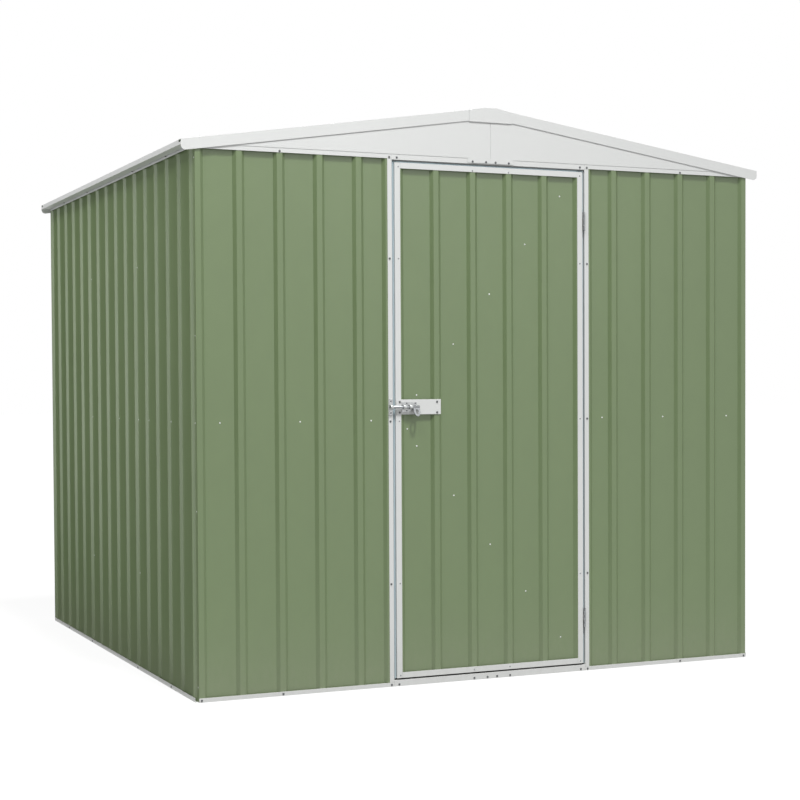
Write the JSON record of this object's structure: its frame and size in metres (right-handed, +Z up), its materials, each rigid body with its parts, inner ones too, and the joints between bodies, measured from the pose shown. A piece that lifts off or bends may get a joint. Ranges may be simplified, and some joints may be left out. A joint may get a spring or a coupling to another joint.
{
  "type": "metal garden tool shed",
  "caption": "Ribbed green steel garden shed with pale folded channels, a low gabled roof, and one hinged front door held by a sliding pad bolt.",
  "frame": {"origin": "middle of the shed's footprint, on the ground", "axes": "+X to the right of a person facing the door, +Y from the door to the back wall, +Z up"},
  "size_m": [2.382, 2.316, 2.1266],
  "materials": {
    "sheet_green": "satin",
    "trim_white": "satin",
    "zinc_steel": "satin",
    "galvanised_inner": "satin"
  },
  "bodies": {
    "shed": {"front_wall_left": "sheet_green", "front_wall_right": "sheet_green", "left_wall_1": "sheet_green", "left_wall_2": "sheet_green", "left_wall_3": "sheet_green", "right_wall_1": "sheet_green", "right_wall_2": "sheet_green", "right_wall_3": "sheet_green", "back_wall_1": "sheet_green", "back_wall_2": "sheet_green", "back_wall_3": "sheet_green", "roof_left": "sheet_green", "roof_right": "sheet_green", "base_channel_front": "trim_white", "base_channel_back": "trim_white", "base_channel_left": "trim_white", "base_channel_right": "trim_white", "top_channel_front": "trim_white", "top_channel_back": "trim_white", "top_channel_left": "trim_white", "top_channel_right": "trim_white", "door_sill": "trim_white", "door_head": "trim_white", "door_jamb_left": "trim_white", "door_jamb_right": "trim_white", "gable_front": "trim_white", "gable_back": "trim_white", "joiner_plates": "trim_white", "barge_front": "trim_white", "barge_back": "trim_white", "eave_trim_left": "trim_white", "eave_trim_right": "trim_white", "ridge_cap": "trim_white", "wall_girts": "galvanised_inner", "ridge_beam": "galvanised_inner", "hinge_frame_leaves": "zinc_steel", "bolt_keeper": "zinc_steel"},
    "door": {"door_panel": "sheet_green", "door_stile_latch": "trim_white", "door_stile_hinge": "trim_white", "door_rails": "trim_white", "door_braces": "galvanised_inner", "hinge_door_leaves": "zinc_steel", "latch_plate": "trim_white", "pad_bolt_body": "zinc_steel"},
    "bolt": {"bolt": "zinc_steel"}
  },
  "joints": [
    {"name": "door_hinge", "type": "hinge", "parent": "shed", "child": "door", "pos_m": [0.39625, -1.1467, 0], "axis": [0, 0, 1], "range_deg": [0, 170]},
    {"name": "bolt_slide", "type": "slide", "parent": "door", "child": "bolt", "axis": [1, 0, 0], "range_m": [0, 0.028]}
  ]
}
